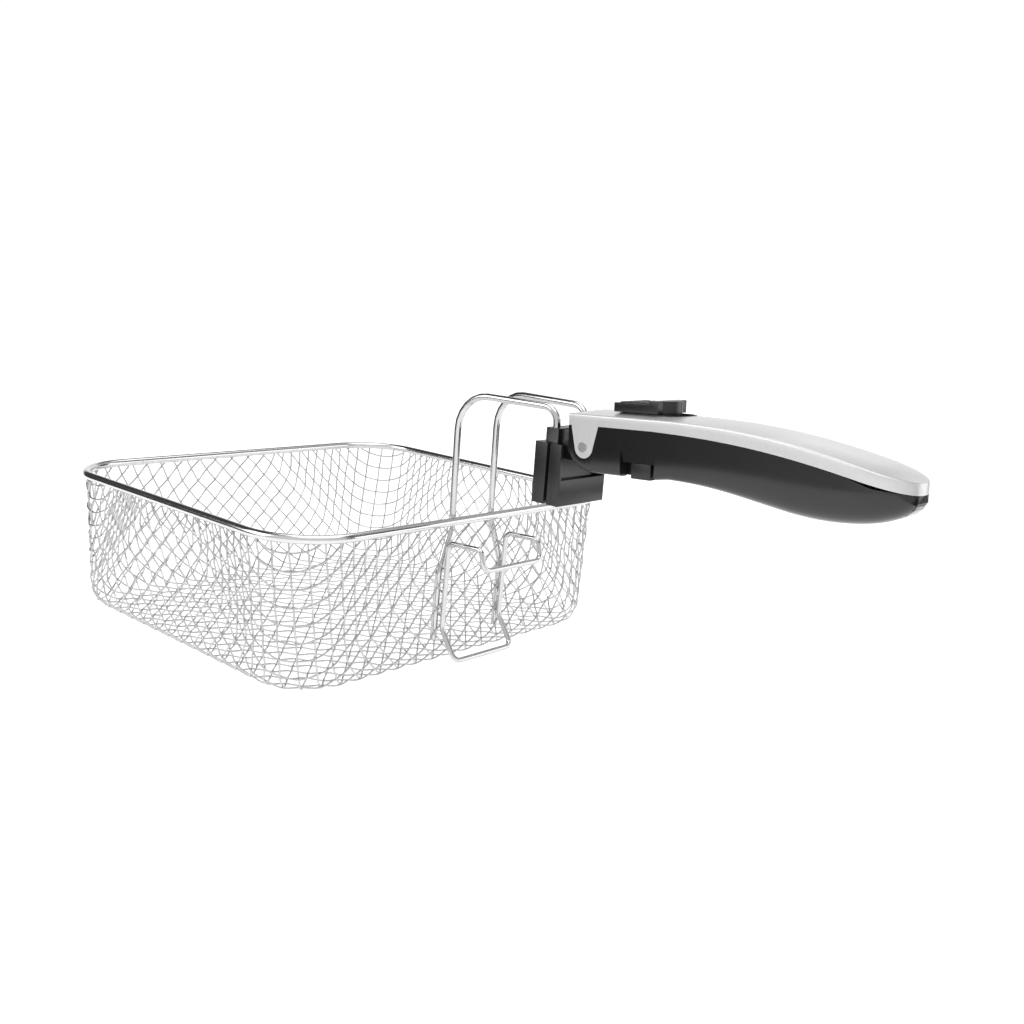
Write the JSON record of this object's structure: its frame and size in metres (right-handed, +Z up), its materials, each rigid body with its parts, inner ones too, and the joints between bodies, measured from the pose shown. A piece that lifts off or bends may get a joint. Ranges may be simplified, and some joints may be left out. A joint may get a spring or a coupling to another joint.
{
  "type": "deep fryer basket",
  "caption": "Woven wire deep-fryer basket with drain hook, guide bracket and a folding handle with a sliding sprung latch.",
  "frame": {"origin": "middle of the basket's floor, on the surface it rests on", "axes": "+X out of the basket along the handle, +Z up, +Y to the left when looking along the handle away from the basket"},
  "size_m": [0.4364, 0.2336, 0.1501],
  "materials": {
    "mesh_wire": "bright drawn stainless wire, woven",
    "steel_wire": "bright polished stainless wire",
    "polished_rim": "polished stainless strip",
    "black_plastic": "satin black moulding",
    "gloss_black": "glossy black moulding",
    "silver_cover": "fine silver metallic paint, satin",
    "grip_black": "ribbed matt black",
    "fastener_steel": "turned and plated steel",
    "spring_steel": "drawn spring wire"
  },
  "bodies": {
    "basket": {"mesh_basket": "mesh_wire", "rim_wire": "steel_wire", "rim_band": "polished_rim", "support_wire_left": "steel_wire", "support_wire_right": "steel_wire", "drain_hook_wire": "steel_wire", "weld_spots": "steel_wire", "bracket_block": "black_plastic", "wire_clamp_screws": "fastener_steel", "hinge_sleeve": "fastener_steel"},
    "handle": {"handle_cover": "silver_cover", "handle_lower_shell": "gloss_black", "hinge_pin": "fastener_steel", "hinge_washers": "fastener_steel", "button_slot_liner": "black_plastic", "bolt_guide": "black_plastic", "spring_seat": "black_plastic", "stiffening_rib": "black_plastic", "handle_screws": "fastener_steel", "folding_catch": "black_plastic", "rear_clip": "black_plastic"},
    "latch": {"button_cap": "black_plastic", "button_grip": "grip_black", "latch_bolt": "fastener_steel", "button_screw": "fastener_steel", "latch_spring": "spring_steel"}
  },
  "joints": [
    {"name": "handle_fold", "type": "hinge", "parent": "basket", "child": "handle", "pos_m": [0.182, 0, 0.1255], "axis": [0, 1, 0], "range_deg": [0, 94]},
    {"name": "latch_slide", "type": "slide", "parent": "handle", "child": "latch", "axis": [0.9976, 0, 0.0698], "range_m": [0, 0.006], "stiffness_N_per_m": 250, "springref_m": -0.006, "deforming": ["latch_spring"]}
  ]
}
